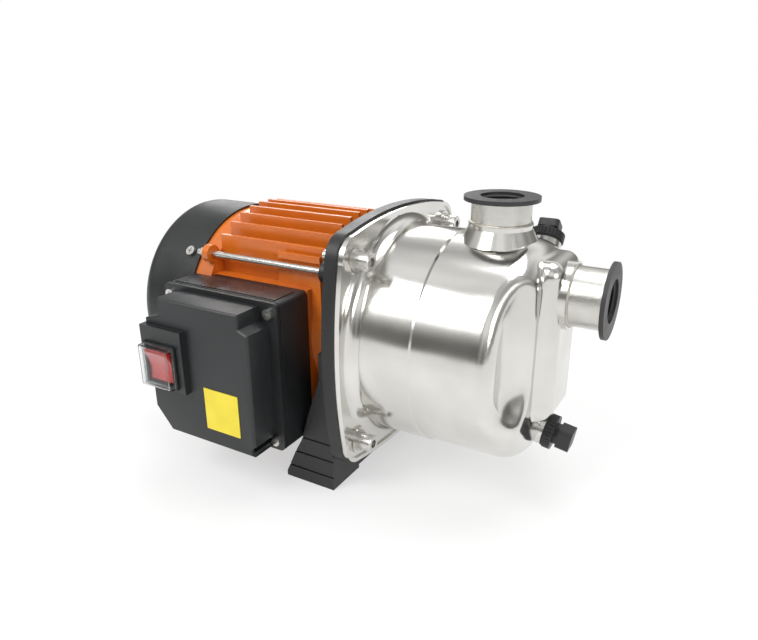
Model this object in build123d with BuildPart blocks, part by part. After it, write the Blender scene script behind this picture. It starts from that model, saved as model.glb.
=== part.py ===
"""Shallow well jet pump: stainless jet pump end, lantern bracket with foot, finned motor and switch box.

Millimetres. +X runs along the shaft to the suction port, +Z is up, and the switch box faces -Y.
The origin is on the floor, midway between the two foot bolt holes.
"""

import math
import os

from build123d import *

# ---- driving dimensions ----------------------------------------------------
shaft_height = 112.0          # shaft axis above the floor
fit = 0.05                    # radial running clearance
gap = 0.3                     # clearance between parts that turn past each other

flange_back = 33.0            # rear face of the pump flange, where it meets the bracket
flange_thickness = 3.0
flange_half = 87.0            # half width at the ends of each side
flange_bulge = 7.0            # how far each side bows out in the middle
bolt_half = 69.7              # half spacing of the four body bolts
lobe_radius = 17.0
bolt_diameter = 8.0
bolt_head_diameter = 13.0
bolt_head_height = 8.0
bolt_pad = 2.4                # raised pad under each washer

drum_radius = 81.5
drum_front = 154.0
drum_round = 19.0
shell_wall = 1.5
drum_step = 83.0              # where the drum steps down from its rear band
step_height = 1.2
nose_front = 166.0
nose_half_width = 27.0
nose_top = 72.0               # above the shaft axis
nose_bottom = -46.0
nose_round = 11.0
scallop_radius = 34.0
scallop_offset = 63.0
scallop_reach = 20.0
scallop_foot = -8.0           # the scallops end in a ball here, from the shaft axis
scallop_round = 10.0
flange_flare = 9.0
nose_blend = 5.0

tube_radius = 21.0
tube_wall = 1.5
port_bore = 15.15             # minor radius of a G1 pipe thread
port_ring_radius = 26.5
port_ring_thickness = 3.0
port_sleeve = 24.0
suction_height = 45.6         # suction axis above the shaft axis
suction_face = 194.4
discharge_x = 113.2
discharge_face = 221.2
collar_height = 9.0

plug_thread = 8.33            # G3/8 major radius
plug_pitch_turns = 8.0        # engaged thread length
plug_collar = 13.0
plug_bush = 12.0
plug_head = 16.0
priming_x = 131.0
priming_angle = 38.0          # from vertical, away from the switch box
drain_drop = 60.0             # below the shaft axis
drain_tilt = 10.0

frame_front = 8.0             # motor frame joins the bracket
frame_back = -98.0
frame_radius = 64.0
frame_bore = 58.0
fin_radius = 88.0
fin_pitch = 12.0
fin_thickness = 3.0
fin_front = 1.0
short_fin = 38.0
shield_rim = 80.5
shield_back = -130.0
cover_radius = 82.4
cover_wall = 1.6
cover_front = -114.0
cover_back = -172.0
cover_round = 14.0
cover_screw_x = -124.0

rod_circle = 86.0
rod_angle = 139.6             # of the first tie rod, from +Y towards +Z
rod_diameter = 5.0

core_front = -14.0
core_length = 56.0
rotor_radius = 30.0
air_gap = 0.35
slot_count = 24
slot_circle = 40.0
slot_radius = 3.0

bearing_bore = 7.5
bearing_outer = 17.5
bearing_width = 11.0
ball_circle = 12.5
ball_radius = 3.0
front_bearing_x = -4.0
rear_bearing_x = -110.0
shaft_pump_radius = 5.5
shaft_fan_radius = 6.0

impeller_back = 44.0
impeller_radius = 56.0
impeller_width = 7.5
eye_radius = 16.0

box_left, box_right = -115.0, -7.0
box_bottom, box_top = 36.0, 152.0
box_back, box_split, box_front = -67.0, -99.0, -126.0
box_wall = 3.0
block_right = -15.0
block_bottom, block_top = 40.0, 148.5
switch_x, switch_z = -96.0, 98.0
rocker_tilt = 11.0            # each side of the middle

foot_half = 22.0              # half length of the foot along the shaft
leg_inner, leg_outer = 70.0, 83.0
foot_hole = 4.5
foot_hole_y = 58.0

axis = Axis((0, 0, shaft_height), (1, 0, 0))
side = Plane(origin=(0, 0, shaft_height), x_dir=(1, 0, 0), z_dir=(0, -1, 0))


def across(x):
    """A plane square to the shaft at x, with its centre on the shaft axis."""
    return Plane(origin=(x, 0, shaft_height), x_dir=(0, 1, 0), z_dir=(1, 0, 0))


def ring(x0, x1, outer, inner=0.0, mode=Mode.ADD, plane=None):
    """A disc or ring between x0 and x1 on the shaft axis, or along another plane's normal."""
    base = across(x0) if plane is None else plane.offset(x0)
    with BuildSketch(base) as face:
        Circle(outer)
        if inner:
            Circle(inner, mode=Mode.SUBTRACT)
    extrude(face.sketch, amount=x1 - x0, mode=mode)


def block(x, y, z, mode=Mode.ADD):
    """A square block given by its low and high ends along each axis."""
    with Locations(((x[0] + x[1]) / 2, (y[0] + y[1]) / 2, (z[0] + z[1]) / 2)):
        Box(x[1] - x[0], y[1] - y[0], z[1] - z[0], mode=mode)


def turned(points, mode=Mode.ADD):
    """Revolves an outline of (x, radius) points about the shaft axis."""
    with BuildSketch(side) as face:
        with BuildLine():
            Polyline(*points, close=True)
        make_face()
    revolve(face.sketch, axis=axis, mode=mode)


def polar(radius, start, count, centre=0.0):
    """Places around the shaft axis, as local points on an across() plane."""
    step = 360.0 / count
    angles = [math.radians(start + centre + step * i) for i in range(count)]
    return [(radius * math.cos(a), radius * math.sin(a)) for a in angles]


def flange_outline(grow=0.0):
    """The flange's outline: a square with rounded corners and bowed sides."""
    reach = bolt_half
    half = flange_half + grow
    bow = half + flange_bulge
    corner = bolt_half + (lobe_radius + grow) * math.sqrt(0.5)
    for turn in range(4):
        a = math.radians(90 * turn)

        def at(u, v, a=a):
            return (u * math.cos(a) - v * math.sin(a), u * math.sin(a) + v * math.cos(a))

        ThreePointArc(at(-reach, half), at(0, bow), at(reach, half))
        ThreePointArc(at(half, reach), at(corner, corner), at(reach, half))


def write(part, name):
    """Labels a finished part and writes its STEP file."""
    part.label = name
    export_step(part, f"parts/{name}.step")


os.makedirs("parts", exist_ok=True)
bolt_places = [(y * bolt_half, z * bolt_half) for y in (-1, 1) for z in (-1, 1)]
rod_places = polar(rod_circle, rod_angle, 4)

priming_lean = math.radians(priming_angle)
priming_plane = Plane(
    origin=(
        priming_x,
        drum_radius * math.sin(priming_lean),
        shaft_height + drum_radius * math.cos(priming_lean),
    ),
    x_dir=(1, 0, 0),
    z_dir=(0, math.sin(priming_lean), math.cos(priming_lean)),
)
drain_lean = math.radians(drain_tilt)
drain_plane = Plane(
    origin=(drum_front, 0, shaft_height - drain_drop),
    x_dir=(0, 1, 0),
    z_dir=(math.cos(drain_lean), 0, -math.sin(drain_lean)),
)
suction_plane = Plane(
    origin=(0, 0, shaft_height + suction_height), x_dir=(0, 1, 0), z_dir=(1, 0, 0)
)
discharge_plane = Plane(origin=(discharge_x, 0, 0), x_dir=(1, 0, 0), z_dir=(0, 0, 1))


# ---- pump end --------------------------------------------------------------
def pump_form(inset):
    """The pressed drum and its nose, drawn in by the wall thickness for the inside."""
    radius = drum_radius - inset
    round_off = drum_round - inset
    with BuildPart() as form:
        with BuildSketch(side) as profile:
            with BuildLine():
                Polyline(
                    (drum_front - inset, 0),
                    (flange_back, 0),
                    (flange_back, radius),
                    (drum_step, radius),
                    (drum_step + step_height, radius - step_height),
                    (drum_front - inset - round_off, radius - step_height),
                )
                JernArc(
                    start=(drum_front - inset - round_off, radius - step_height),
                    tangent=(1, 0),
                    radius=round_off,
                    arc_size=-90,
                )
                Line(
                    (drum_front - inset, radius - step_height - round_off),
                    (drum_front - inset, 0),
                )
            make_face()
        revolve(profile.sketch, axis=axis)
        for sign in (-1, 1):
            foot = (drum_front + scallop_reach, sign * scallop_offset)
            with BuildSketch(Plane.XY.offset(shaft_height + scallop_foot)) as scallop:
                with Locations(foot):
                    Circle(scallop_radius + inset)
            extrude(scallop.sketch, amount=shaft_height, mode=Mode.SUBTRACT)
            with Locations((*foot, shaft_height + scallop_foot)):
                Sphere(scallop_radius + inset, mode=Mode.SUBTRACT)
        cut_edges = form.edges().filter_by(
            lambda edge: edge.center().X > drum_front - 2 * drum_round
            and edge.geom_type != GeomType.CIRCLE
        )
        fillet(cut_edges, radius=scallop_round - inset)
    with BuildPart() as nose:
        middle = (nose_top + nose_bottom) / 2
        with BuildSketch(across(drum_front - drum_round - nose_round)) as face:
            with Locations((0, middle)):
                RectangleRounded(
                    2 * (nose_half_width - inset), nose_top - nose_bottom - 2 * inset, nose_round
                )
        length = nose_front - drum_front + drum_round + nose_round - inset
        extrude(face.sketch, amount=length)
        fillet(nose.edges().group_by(Axis.X)[-1], radius=nose_round - inset - 1)
    with BuildPart() as whole:
        add(form.part)
        add(nose.part)
        if not inset:
            joins = whole.edges().filter_by(
                lambda edge: abs(edge.center().Y) < nose_half_width + 2
                and drum_front - 2 * drum_round < edge.center().X < drum_front + 1
                and nose_bottom - 3 < edge.center().Z - shaft_height < nose_top + 3
            )
            fillet(joins, radius=nose_blend)
    return whole.part


outer_form = pump_form(0)
inner_form = pump_form(shell_wall)

with BuildPart() as pump_body:
    add(outer_form)
    with BuildSketch(discharge_plane.offset(shaft_height)) as collar:
        Circle(tube_radius + tube_wall)
    extrude(collar.sketch, amount=drum_radius + collar_height)
    with BuildSketch(discharge_plane.offset(shaft_height + drum_radius - 5)) as skirt:
        Circle(tube_radius + 7)
    with BuildSketch(discharge_plane.offset(shaft_height + drum_radius + collar_height - 3)) as neck:
        Circle(tube_radius + tube_wall)
    loft(sections=[skirt.sketch.face(), neck.sketch.face()])
    with BuildSketch(across(flange_back)) as sheet:
        with BuildLine():
            flange_outline()
        make_face()
    extrude(sheet.sketch, amount=flange_thickness)
    with BuildSketch(across(flange_back)) as rim:
        with BuildLine():
            flange_outline()
        make_face()
        with BuildLine():
            flange_outline(-3)
        make_face(mode=Mode.SUBTRACT)
    extrude(rim.sketch, amount=flange_thickness + 1.5)
    with BuildSketch(across(flange_back)) as pads:
        with Locations(*bolt_places):
            Circle(bolt_head_diameter / 2 + 3.5)
    extrude(pads.sketch, amount=flange_thickness + bolt_pad)
    with BuildSketch(side) as flare:
        corner = (flange_back + flange_thickness, drum_radius)
        with Locations((corner[0] + flange_flare / 2, corner[1] + flange_flare / 2)):
            Rectangle(flange_flare, flange_flare)
        with Locations((corner[0] + flange_flare, corner[1] + flange_flare)):
            Circle(flange_flare, mode=Mode.SUBTRACT)
    revolve(flare.sketch, axis=axis)
    ring(nose_front - 12, nose_front + 3, tube_radius + 3, plane=suction_plane)
    add(inner_form, mode=Mode.SUBTRACT)
    ring(flange_back, flange_back + 1.2, drum_radius + 2.5, mode=Mode.SUBTRACT)
    ring(drum_front - 12, nose_front + 20, tube_radius, mode=Mode.SUBTRACT, plane=suction_plane)
    with BuildSketch(discharge_plane.offset(shaft_height + drum_radius - 12)) as passage:
        Circle(tube_radius)
    extrude(passage.sketch, amount=40, mode=Mode.SUBTRACT)
    with BuildSketch(across(flange_back)) as holes:
        with Locations(*bolt_places):
            Circle(bolt_diameter / 2 + 0.5)
    extrude(holes.sketch, amount=20, mode=Mode.SUBTRACT)
    ring(-30, 20, plug_bush, mode=Mode.SUBTRACT, plane=priming_plane)
    ring(-30, 20, plug_bush, mode=Mode.SUBTRACT, plane=drain_plane)
write(pump_body.part, "pump_body")

tube_foot = nose_front - 3
with BuildPart() as suction_tube:
    ring(
        tube_foot,
        suction_face - port_ring_thickness,
        tube_radius,
        tube_radius - tube_wall,
        plane=suction_plane,
    )
write(suction_tube.part, "suction_tube")

with BuildPart() as discharge_tube:
    ring(
        shaft_height + drum_radius - 3,
        discharge_face - port_ring_thickness,
        tube_radius,
        tube_radius - tube_wall,
        plane=discharge_plane,
    )
write(discharge_tube.part, "discharge_tube")


def port_insert(face, plane):
    """A moulded port insert: a flat sealing ring and a threaded sleeve that fills the tube."""
    back = face - port_ring_thickness
    ring(back, face, port_ring_radius, port_bore, plane=plane)
    ring(face - port_sleeve, back, tube_radius - tube_wall, port_bore, plane=plane)


with BuildPart() as suction_insert:
    port_insert(suction_face, suction_plane)
write(suction_insert.part, "suction_insert")
with BuildPart() as discharge_insert:
    port_insert(discharge_face, discharge_plane)
write(discharge_insert.part, "discharge_insert")

with BuildPart() as body_gasket:
    ring(flange_back, flange_back + 1.2, drum_radius + 2.4, drum_radius - 1.2)
write(body_gasket.part, "body_gasket")

washer_face = flange_back + flange_thickness + bolt_pad
with BuildPart() as body_washers:
    for thickness, start, outer in ((1.6, 0, 8.0), (2.0, 1.6, 6.8)):
        with BuildSketch(across(washer_face + start)) as washer:
            with Locations(*bolt_places):
                Circle(outer)
                Circle(bolt_diameter / 2 + 0.3, mode=Mode.SUBTRACT)
        extrude(washer.sketch, amount=thickness)
write(body_washers.part, "body_washers")

head_face = washer_face + 3.6
bolt_tip = 12.0
with BuildPart() as body_bolts:
    with BuildSketch(across(head_face)) as heads:
        with Locations(*bolt_places):
            Circle(bolt_head_diameter / 2)
    extrude(heads.sketch, amount=bolt_head_height)
    chamfer(body_bolts.faces().sort_by(Axis.X)[-4:].edges(), length=0.7)
    with BuildSketch(across(head_face + bolt_head_height)) as sockets:
        with Locations(*bolt_places):
            RegularPolygon(3.0, 6, major_radius=False)
    extrude(sockets.sketch, amount=-4, mode=Mode.SUBTRACT)
    with BuildSketch(across(bolt_tip)) as shanks:
        with Locations(*bolt_places):
            Circle(bolt_diameter / 2)
    extrude(shanks.sketch, amount=head_face - bolt_tip)
write(body_bolts.part, "body_bolts")

plate_front = flange_back + 2
hub_back = 27.0
with BuildPart() as seal_plate:
    ring(flange_back, plate_front, drum_radius - 1.9, 8.5)
    ring(hub_back, flange_back, 15.0, 13.0)
    ring(hub_back, hub_back + 1.2, 13.0, 9.0)
    ring(flange_back, plate_front, 13.0, mode=Mode.SUBTRACT)
write(seal_plate.part, "seal_plate")

seat_back = hub_back + 1.2
seat_face = plate_front
with BuildPart() as seal_seat:
    ring(seat_back, seat_face, 13.0, 8.3)
write(seal_seat.part, "seal_seat")

ring_face = seat_face + 0.1
ring_back = seat_face + 4
with BuildPart() as seal_ring:
    ring(ring_face, ring_back, 11.5, shaft_pump_radius + 1.5)
write(seal_ring.part, "seal_ring")
with BuildPart() as seal_bellows:
    folds = 4
    length = (impeller_back - ring_back) / folds
    points = [(ring_back, shaft_pump_radius)]
    for i in range(folds):
        start = ring_back + i * length
        points += [(start, 8.5), (start + length / 2, 10.5)]
    points += [(impeller_back, 8.5), (impeller_back, shaft_pump_radius)]
    turned(points)
write(seal_bellows.part, "seal_bellows")

vane_front = impeller_back + 2.5 + impeller_width
shroud_front = vane_front + 2
eye_front = shroud_front + 6
with BuildPart() as impeller:
    ring(impeller_back, impeller_back + 2.5, impeller_radius)
    ring(impeller_back, vane_front, 12.0)
    ring(vane_front, shroud_front, impeller_radius, eye_radius - 2.5)
    ring(shroud_front, eye_front, eye_radius, eye_radius - 2.5)
    with BuildSketch(across(impeller_back)) as vanes:
        with PolarLocations(0, 6):
            with BuildLine():
                inner_arc = ThreePointArc((14, 0), (32, -13), (impeller_radius - 1, -34))
                outer_arc = ThreePointArc((14, 2.5), (33.5, -10.5), (impeller_radius + 0.5, -31))
                Line(inner_arc @ 0, outer_arc @ 0)
                Line(inner_arc @ 1, outer_arc @ 1)
            make_face()
        Circle(impeller_radius, mode=Mode.INTERSECT)
    extrude(vanes.sketch, amount=vane_front - impeller_back)
    ring(impeller_back, vane_front, shaft_pump_radius, mode=Mode.SUBTRACT)
write(impeller.part, "impeller")

nut_height = 8.0
with BuildPart() as impeller_nut:
    with BuildSketch(across(vane_front)) as hexagon:
        RegularPolygon(8.5, 6, major_radius=False)
        Circle(5.0, mode=Mode.SUBTRACT)
    extrude(hexagon.sketch, amount=nut_height)
write(impeller_nut.part, "impeller_nut")

diffuser_face = eye_front - 4
diffuser_radius = impeller_radius + 8
with BuildPart() as diffuser:
    ring(plate_front, diffuser_face, diffuser_radius, diffuser_radius - 3)
    ring(diffuser_face, diffuser_face + 3, diffuser_radius, eye_radius + gap)
    with BuildSketch(across(diffuser_face + 3)) as guides:
        with Locations(*polar(46, 0, 8)):
            Rectangle(3, 22)
    extrude(guides.sketch, amount=6)
    with BuildSketch(across(plate_front + 8)) as ports:
        with Locations(*polar(diffuser_radius - 1.5, 22.5, 8)):
            Circle(6)
    extrude(ports.sketch, amount=diffuser_face - plate_front - 10, mode=Mode.SUBTRACT)
write(diffuser.part, "diffuser")

venturi_back = diffuser_face + 3
with BuildPart() as venturi:
    turned(
        [
            (venturi_back, eye_radius + 1.5),
            (venturi_back, 22),
            (venturi_back + 4, 22),
            (venturi_back + 6, 19),
            (95, 11),
            (118, 11),
            (118, 7),
            (95, 7),
            (venturi_back + 6, 14),
        ]
    )
write(venturi.part, "venturi")
with BuildPart() as nozzle:
    turned([(124, 3.5), (124, 5.5), (140, 12), (152, 12), (152, 9), (140, 9)])
write(nozzle.part, "nozzle")
with BuildPart() as ejector_cage:
    ring(112, 120, 15, 11)
    ring(138, nose_front - shell_wall - 0.2, 15, 12)
    with BuildSketch(across(120)) as bars:
        with Locations(*polar(13.7, 45, 4)):
            Circle(1.2)
    extrude(bars.sketch, amount=18)
write(ejector_cage.part, "ejector_cage")

# ---- plugs -----------------------------------------------------------------
bush_out = 4.0
seal_thickness = 1.5
collar_start = bush_out + seal_thickness
collar_end = collar_start + 6
bush_planes = {"priming": priming_plane, "drain": drain_plane}
with BuildPart() as plug_bushes:
    for plane in bush_planes.values():
        ring(-6, bush_out, plug_bush, plug_thread + fit, plane=plane)
write(plug_bushes.part, "plug_bushes")


def plug(plane, head_length):
    """A screwed plug: thread, knurled collar and a square head to turn it by."""
    ring(bush_out - plug_pitch_turns - 1, collar_start, plug_thread, plane=plane)
    ring(collar_start, collar_end, plug_collar, plane=plane)
    with BuildSketch(plane.offset(collar_start + 0.8)) as grip:
        with PolarLocations(plug_collar, 30):
            Circle(0.55)
    extrude(grip.sketch, amount=collar_end - collar_start - 1.6, mode=Mode.SUBTRACT)
    ring(collar_end, collar_end + 3, 8.0, plane=plane)
    with BuildSketch(plane.offset(collar_end + 3)) as head:
        RectangleRounded(plug_head, plug_head, 3)
    extrude(head.sketch, amount=head_length)


for name, plane in bush_planes.items():
    with BuildPart() as plug_part:
        plug(plane, 10.0 if name == "drain" else 6.0)
    write(plug_part.part, f"{name}_plug")
    with BuildPart() as plug_seal:
        ring(bush_out, collar_start, plug_collar - 0.8, plug_thread + 2 * fit, plane=plane)
    write(plug_seal.part, f"{name}_plug_seal")

# ---- bracket and foot ------------------------------------------------------
rod_tip = 28.0
hub_start = front_bearing_x - 1
with BuildPart() as bracket:
    with BuildSketch(across(24)) as face:
        with BuildLine():
            flange_outline(1.5)
        make_face()
    extrude(face.sketch, amount=flange_back - 24)
    ring(frame_front, 24, frame_radius + 3, frame_radius - 6)
    ring(hub_start, 24, 24.0)
    with BuildSketch(across(14)) as spokes:
        with PolarLocations(0, 6):
            with Locations((40, 0)):
                Rectangle(40, 5)
    extrude(spokes.sketch, amount=10)
    with BuildSketch(across(frame_front)) as bosses:
        with Locations(*rod_places):
            Circle(8)
    extrude(bosses.sketch, amount=20)
    with BuildSketch(Plane.XZ.offset(leg_inner)) as leg:
        with BuildLine():
            Polyline(
                (foot_half, 0),
                (foot_half, shaft_height - 10),
                (foot_half + 2, shaft_height),
                (12, shaft_height),
                (12, 91),
                (box_right + 8, 60),
                (box_right + 0.5, box_bottom),
                (-13, 24),
                (-foot_half, 4),
                (-foot_half, 0),
                close=True,
            )
        make_face()
    extrude(leg.sketch, amount=leg_outer - leg_inner)
    for groove in (10, 24, 38):
        block((-30, 30), (-leg_outer - 1, -leg_outer + 1), (groove, groove + 1.6), Mode.SUBTRACT)
    mirror(about=Plane.XZ)
    block((-foot_half, foot_half), (-leg_inner, -leg_inner + 24), (0, 9))
    block((-foot_half, foot_half), (leg_inner - 24, leg_inner), (0, 9))
    block((14, foot_half), (-leg_inner, leg_inner), (3, 60))
    block((-foot_half + 6, 14), (-leg_inner, leg_inner), (3, 9))
    ring(hub_start - 1, front_bearing_x + bearing_width, bearing_outer, mode=Mode.SUBTRACT)
    ring(front_bearing_x, 17, 12.0, mode=Mode.SUBTRACT)
    ring(16, flange_back + 1, 17.0, mode=Mode.SUBTRACT)
    ring(24 - 10, 24, frame_radius - 6, 24.0 + 12, mode=Mode.SUBTRACT)
    ring(frame_front, frame_front + 3, frame_radius + 0.05, mode=Mode.SUBTRACT)
    ring(hub_start, 24, 24.0, bearing_outer)
    ring(front_bearing_x + bearing_width, 17, 24.0, 12.0)
    with BuildSketch(across(15)) as spider:
        with PolarLocations(0, 6):
            with Locations((41, 0)):
                Rectangle(38, 5)
    extrude(spider.sketch, amount=9)
    with BuildSketch(across(bolt_tip)) as tapped:
        with Locations(*bolt_places):
            Circle(bolt_diameter / 2 + fit)
    extrude(tapped.sketch, amount=flange_back - bolt_tip, mode=Mode.SUBTRACT)
    with BuildSketch(across(frame_front - 1)) as rod_seats:
        with Locations(*rod_places):
            Circle(rod_diameter / 2 + fit)
    extrude(rod_seats.sketch, amount=rod_tip + gap - frame_front + 1, mode=Mode.SUBTRACT)
    ring(0, 12, foot_hole, mode=Mode.SUBTRACT, plane=Plane.XY.move(Location((0, -foot_hole_y, -1))))
    ring(0, 12, foot_hole, mode=Mode.SUBTRACT, plane=Plane.XY.move(Location((0, foot_hole_y, -1))))
write(bracket.part, "bracket")

# ---- motor housing ---------------------------------------------------------
with BuildPart() as motor_frame:
    ring(frame_back, frame_front + 3, frame_radius)
    fin_rows = [(i + 0.5) * fin_pitch for i in range(-5, 5)]
    for y in fin_rows:
        height = math.sqrt(fin_radius**2 - y**2)
        lean = (y - fin_thickness / 2, y + fin_thickness / 2)
        block((frame_back, fin_front), lean, (shaft_height, shaft_height + height))
        if abs(y) < 40:
            block((frame_back, fin_front), lean, (shaft_height - height, shaft_height))
    for z in fin_rows:
        reach = math.sqrt(fin_radius**2 - z**2)
        lean = (shaft_height + z - fin_thickness / 2, shaft_height + z + fin_thickness / 2)
        block((frame_back, fin_front), (0, reach), lean)
    for side_sign in (-1, 1):
        short_y = side_sign * 5 * fin_pitch
        short_top = shaft_height + math.sqrt(fin_radius**2 - short_y**2)
        lean = (short_y - fin_thickness / 2, short_y + fin_thickness / 2)
        block((fin_front - short_fin, fin_front), lean, (shaft_height, short_top))
    block((box_left + 17, box_right), (box_back, -40), (box_bottom + 14, box_top))
    ring(frame_back - 1, frame_front + 4, frame_bore, mode=Mode.SUBTRACT)
    with BuildSketch(across(frame_back)) as relief:
        with Locations(*rod_places):
            Circle(rod_diameter / 2 + 3)
    extrude(relief.sketch, amount=frame_front - frame_back, mode=Mode.SUBTRACT)
    block(
        (-90, -30), (box_back - 1, -40), (shaft_height - 12, shaft_height + 12), Mode.SUBTRACT
    )
write(motor_frame.part, "motor_frame")

hub_wall = rear_bearing_x - 1.2
shield_face = frame_back - 6
with BuildPart() as rear_end_shield:
    ring(shield_face, frame_back, shield_rim)
    ring(shield_back, shield_face, shield_rim, shield_rim - 4)
    with BuildSketch(across(shield_face)) as ears:
        with Locations(*rod_places):
            Circle(7)
    extrude(ears.sketch, amount=6)
    ring(hub_wall - 3, frame_back + 2, 23.0)
    with BuildSketch(across(shield_face - 1)) as vents:
        with Locations(*polar(54, 0, 16)):
            Circle(5)
    extrude(vents.sketch, amount=10, mode=Mode.SUBTRACT)
    with BuildSketch(across(shield_face - 1)) as inner_vents:
        with Locations(*polar(38, 11.25, 12)):
            Circle(4)
    extrude(inner_vents.sketch, amount=10, mode=Mode.SUBTRACT)
    ring(hub_wall, frame_back + 3, bearing_outer, mode=Mode.SUBTRACT)
    ring(hub_wall - 4, hub_wall, 9.5, mode=Mode.SUBTRACT)
    with BuildSketch(across(shield_face - 1)) as rod_holes:
        with Locations(*rod_places):
            Circle(rod_diameter / 2 + fit)
    extrude(rod_holes.sketch, amount=10, mode=Mode.SUBTRACT)
    ring(shield_face - 5, shield_face, shield_rim + 10, shield_rim, mode=Mode.SUBTRACT)
    for place in rod_places:
        outward = Vector(0, place[0], place[1]).normalized()
        radial = Plane(
            origin=(cover_screw_x, 0, shaft_height), x_dir=(1, 0, 0), z_dir=outward
        )
        ring(shield_rim - 6, shield_rim + 3, 2.0, mode=Mode.SUBTRACT, plane=radial)
write(rear_end_shield.part, "rear_end_shield")

with BuildPart() as fan_cover:
    with BuildSketch(side) as cup:
        with BuildLine():
            Polyline(
                (cover_back, 0),
                (cover_back, cover_radius - cover_round),
            )
            JernArc(
                start=(cover_back, cover_radius - cover_round),
                tangent=(0, 1),
                radius=cover_round,
                arc_size=-90,
            )
            Polyline(
                (cover_back + cover_round, cover_radius),
                (cover_front, cover_radius),
                (cover_front, cover_radius - cover_wall),
                (cover_back + cover_round, cover_radius - cover_wall),
            )
            JernArc(
                start=(cover_back + cover_round, cover_radius - cover_wall),
                tangent=(-1, 0),
                radius=cover_round - cover_wall,
                arc_size=90,
            )
            Polyline(
                (cover_back + cover_wall, cover_radius - cover_round),
                (cover_back + cover_wall, 0),
                (cover_back, 0),
            )
        make_face()
    revolve(cup.sketch, axis=axis)
    with BuildSketch(across(cover_back - 1)) as louvres:
        for radius, count in ((20, 12), (36, 20), (52, 28)):
            for i in range(count):
                turn = 360 * i / count
                with Locations(
                    Location(
                        (
                            radius * math.cos(math.radians(turn)),
                            radius * math.sin(math.radians(turn)),
                            0,
                        ),
                        (0, 0, turn),
                    )
                ):
                    SlotOverall(12, 4.5)
    extrude(louvres.sketch, amount=cover_wall + 3, mode=Mode.SUBTRACT)
    for place in rod_places:
        outward = Vector(0, place[0], place[1]).normalized()
        radial = Plane(
            origin=(cover_screw_x, 0, shaft_height), x_dir=(1, 0, 0), z_dir=outward
        )
        ring(cover_radius - 5, cover_radius + 3, 2.3, mode=Mode.SUBTRACT, plane=radial)
write(fan_cover.part, "fan_cover")

with BuildPart() as fan_cover_screws:
    for place in rod_places:
        outward = Vector(0, place[0], place[1]).normalized()
        radial = Plane(
            origin=(cover_screw_x, 0, shaft_height), x_dir=(1, 0, 0), z_dir=outward
        )
        ring(shield_rim - 3.5, cover_radius + 0.1, 2.0 - fit, plane=radial)
        ring(cover_radius + 0.1, cover_radius + 2.8, 4.0, plane=radial)
        with BuildSketch(radial.offset(cover_radius + 2.8)) as cross:
            Rectangle(4.4, 1.0)
            Rectangle(1.0, 4.4)
        extrude(cross.sketch, amount=-1.4, mode=Mode.SUBTRACT)
write(fan_cover_screws.part, "fan_cover_screws")

rod_tail = shield_face - 9
with BuildPart() as tie_rods:
    with BuildSketch(across(rod_tail)) as rods:
        with Locations(*rod_places):
            Circle(rod_diameter / 2)
    extrude(rods.sketch, amount=rod_tip - rod_tail)
write(tie_rods.part, "tie_rods")
with BuildPart() as tie_rod_nuts:
    with BuildSketch(across(shield_face)) as nuts:
        with Locations(*rod_places):
            RegularPolygon(4.0, 6, major_radius=False)
            Circle(rod_diameter / 2, mode=Mode.SUBTRACT)
    extrude(nuts.sketch, amount=-4.0)
write(tie_rod_nuts.part, "tie_rod_nuts")

# ---- turning parts ---------------------------------------------------------
core_back = core_front - core_length
shaft_tip = vane_front + nut_height + 1
fan_back = -158.0
with BuildPart() as shaft:
    turned(
        [
            (fan_back - 4, 0),
            (fan_back - 4, shaft_fan_radius),
            (rear_bearing_x - 1, shaft_fan_radius),
            (rear_bearing_x - 1, bearing_bore),
            (rear_bearing_x + bearing_width, bearing_bore),
            (rear_bearing_x + bearing_width, 9),
            (front_bearing_x, 9),
            (front_bearing_x, bearing_bore),
            (24, bearing_bore),
            (24, 7),
            (ring_back - 0.5, 7),
            (ring_back - 0.5, shaft_pump_radius),
            (vane_front, shaft_pump_radius),
            (vane_front, 5),
            (shaft_tip, 5),
            (shaft_tip, 0),
        ]
    )
write(shaft.part, "shaft")

with BuildPart() as rotor_core:
    ring(core_back, core_front, rotor_radius, 9.0)
write(rotor_core.part, "rotor_core")
with BuildPart() as rotor_end_rings:
    for start, end in ((core_back - 6, core_back), (core_front, core_front + 6)):
        ring(start, end, rotor_radius - 1, 20)
write(rotor_end_rings.part, "rotor_end_rings")

slinger_x = 18.0
with BuildPart() as slinger:
    ring(slinger_x, slinger_x + 3, 13.0, bearing_bore)
write(slinger.part, "slinger")

with BuildPart() as fan:
    ring(fan_back, fan_back + 22, 12.0, shaft_fan_radius)
    ring(fan_back + 19, fan_back + 21, 60.0, 12.0)
    with BuildSketch(across(fan_back + 2)) as blades:
        for i in range(7):
            turn = 360 * i / 7
            radius = 40
            with Locations(
                Location(
                    (
                        radius * math.cos(math.radians(turn)),
                        radius * math.sin(math.radians(turn)),
                        0,
                    ),
                    (0, 0, turn),
                )
            ):
                Rectangle(58, 2.4)
    extrude(blades.sketch, amount=17.2)
write(fan.part, "fan")
with BuildPart() as fan_clip:
    ring(fan_back - 2, fan_back, 9.0, shaft_fan_radius)
write(fan_clip.part, "fan_clip")

bearing_starts = (front_bearing_x, rear_bearing_x)


def race_groove(start):
    """Cuts the ball groove of one bearing from whatever ring is being made."""
    with BuildSketch(side) as groove:
        with Locations((start + bearing_width / 2, ball_circle)):
            Circle(ball_radius + fit)
    revolve(groove.sketch, axis=axis, mode=Mode.SUBTRACT)


with BuildPart() as bearing_outer_rings:
    for start in bearing_starts:
        ring(start, start + bearing_width, bearing_outer, ball_circle + 2.6)
        race_groove(start)
write(bearing_outer_rings.part, "bearing_outer_rings")
with BuildPart() as bearing_inner_rings:
    for start in bearing_starts:
        ring(start, start + bearing_width, ball_circle - 2.6, bearing_bore)
        race_groove(start)
write(bearing_inner_rings.part, "bearing_inner_rings")


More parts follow.
